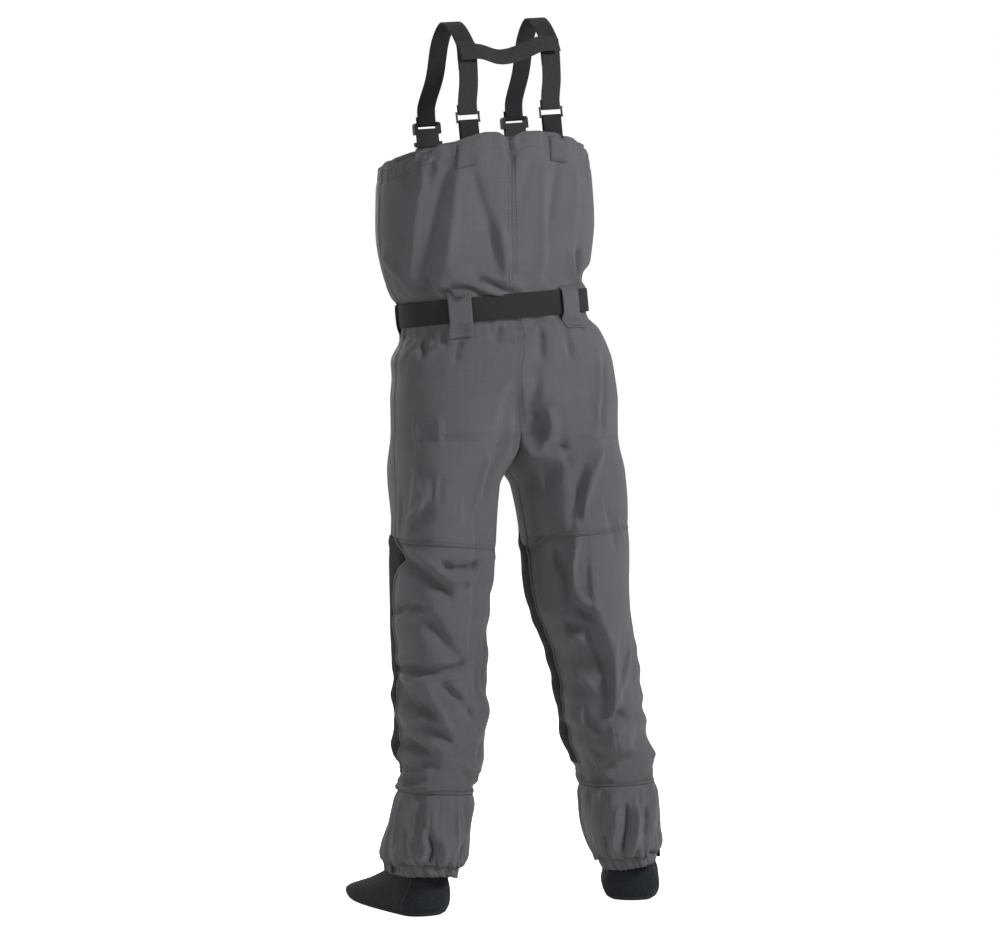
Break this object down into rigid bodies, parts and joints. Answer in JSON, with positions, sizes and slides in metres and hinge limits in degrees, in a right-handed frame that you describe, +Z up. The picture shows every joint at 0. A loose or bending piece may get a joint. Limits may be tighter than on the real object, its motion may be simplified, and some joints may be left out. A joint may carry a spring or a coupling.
{
  "type": "chest waders",
  "caption": "Stocking-foot chest waders: a bib on webbing suspenders, a belted waist, two legs with gravel guards, and padded neoprene feet.",
  "frame": {"origin": "on the floor, under the middle of the whole object's box", "axes": "+Z up, -Y the way the wearer faces, +X the wearer's left"},
  "size_m": [0.5776, 0.3514, 1.5204],
  "materials": {
    "shell_fabric": "fine coated nylon weave, matt with a slight sheen",
    "reinforced_fabric": "heavier nylon, matt",
    "neoprene": "neoprene with a knitted face, matt",
    "webbing": "polyester webbing",
    "elastic_webbing": "knitted elastic",
    "buckle_plastic": "moulded acetal, satin",
    "coated_wire": "black coated wire",
    "seam_tape": "heat-sealed film",
    "zip_plastic": "coated zip tape"
  },
  "bodies": {
    "garment": {"bib_front": "shell_fabric", "bib_back_left": "shell_fabric", "bib_back_right": "shell_fabric", "lap_left": "shell_fabric", "lap_right": "shell_fabric", "seat_left": "shell_fabric", "seat_right": "shell_fabric", "hem_facing": "shell_fabric", "hem_elastic": "elastic_webbing", "back_seam_tape": "seam_tape", "side_seam_tapes": "seam_tape", "crotch_gusset": "shell_fabric", "thigh_front_left": "shell_fabric", "thigh_front_right": "shell_fabric", "thigh_back_left": "shell_fabric", "thigh_back_right": "shell_fabric", "shin_front_left": "shell_fabric", "shin_front_right": "shell_fabric", "calf_back_left": "shell_fabric", "calf_back_right": "shell_fabric", "knee_shin_guard_left": "reinforced_fabric", "knee_shin_guard_right": "reinforced_fabric", "bootie_upper_left": "neoprene", "bootie_upper_right": "neoprene", "bootie_heel_left": "neoprene", "bootie_heel_right": "neoprene", "bootie_sole_left": "neoprene", "bootie_sole_right": "neoprene", "gravel_guard_left": "shell_fabric", "gravel_guard_right": "shell_fabric", "guard_elastic_left": "elastic_webbing", "guard_elastic_right": "elastic_webbing", "rear_tabs": "webbing", "front_tabs": "webbing", "strap_buckle_plugs": "buckle_plastic", "tab_patches": "shell_fabric", "belt_webbing": "webbing", "belt_plug": "buckle_plastic", "belt_loops": "shell_fabric", "chest_pocket": "shell_fabric", "zip_tape": "zip_plastic", "zip_teeth": "zip_plastic", "hook_tabs": "webbing", "guard_side_tabs": "webbing"},
    "harness": {"rear_strap_left": "elastic_webbing", "rear_strap_right": "elastic_webbing", "shoulder_strap_left": "webbing", "shoulder_strap_right": "webbing", "cross_strap": "elastic_webbing", "rear_rings": "coated_wire", "strap_buckle_sockets": "buckle_plastic"},
    "belt_adjuster": {"belt_socket": "buckle_plastic", "belt_tail": "webbing"},
    "belt_keeper": {"belt_keeper": "buckle_plastic"},
    "zip_slider": {"zip_slider": "coated_wire"},
    "zip_pull": {"zip_pull": "zip_plastic"},
    "lace_hook_left": {"lace_hook_left": "coated_wire"},
    "lace_hook_right": {"lace_hook_right": "coated_wire"}
  },
  "joints": [
    {"name": "harness_swing", "type": "hinge", "parent": "garment", "child": "harness", "pos_m": [0.0908, 0.1457, 1.332], "axis": [-0.9945, 0, 0.1045], "range_deg": [0, 90]},
    {"name": "belt_buckle_slide", "type": "slide", "parent": "garment", "child": "belt_adjuster", "axis": [-0.9945, 0, 0.1045], "range_m": [0, 0.022]},
    {"name": "belt_keeper_slide", "type": "slide", "parent": "garment", "child": "belt_keeper", "axis": [0.9945, 0, -0.1045], "range_m": [-0.006, 0.005]},
    {"name": "pocket_zip_slide", "type": "slide", "parent": "garment", "child": "zip_slider", "axis": [0, 0, -1], "range_m": [0, 0.1]},
    {"name": "zip_pull_swing", "type": "hinge", "parent": "zip_slider", "child": "zip_pull", "pos_m": [0.0938, -0.0727, 1.23], "axis": [-1, 0, 0], "range_deg": [0, 150]},
    {"name": "lace_hook_left_swing", "type": "hinge", "parent": "garment", "child": "lace_hook_left", "pos_m": [0.23359, -0.02321, 0.092], "axis": [-0.9848, -0.1736, 0], "range_deg": [0, 70]},
    {"name": "lace_hook_right_swing", "type": "hinge", "parent": "garment", "child": "lace_hook_right", "pos_m": [-0.21679, -0.03755, 0.092], "axis": [-0.9272, 0.3746, 0], "range_deg": [0, 70]}
  ]
}
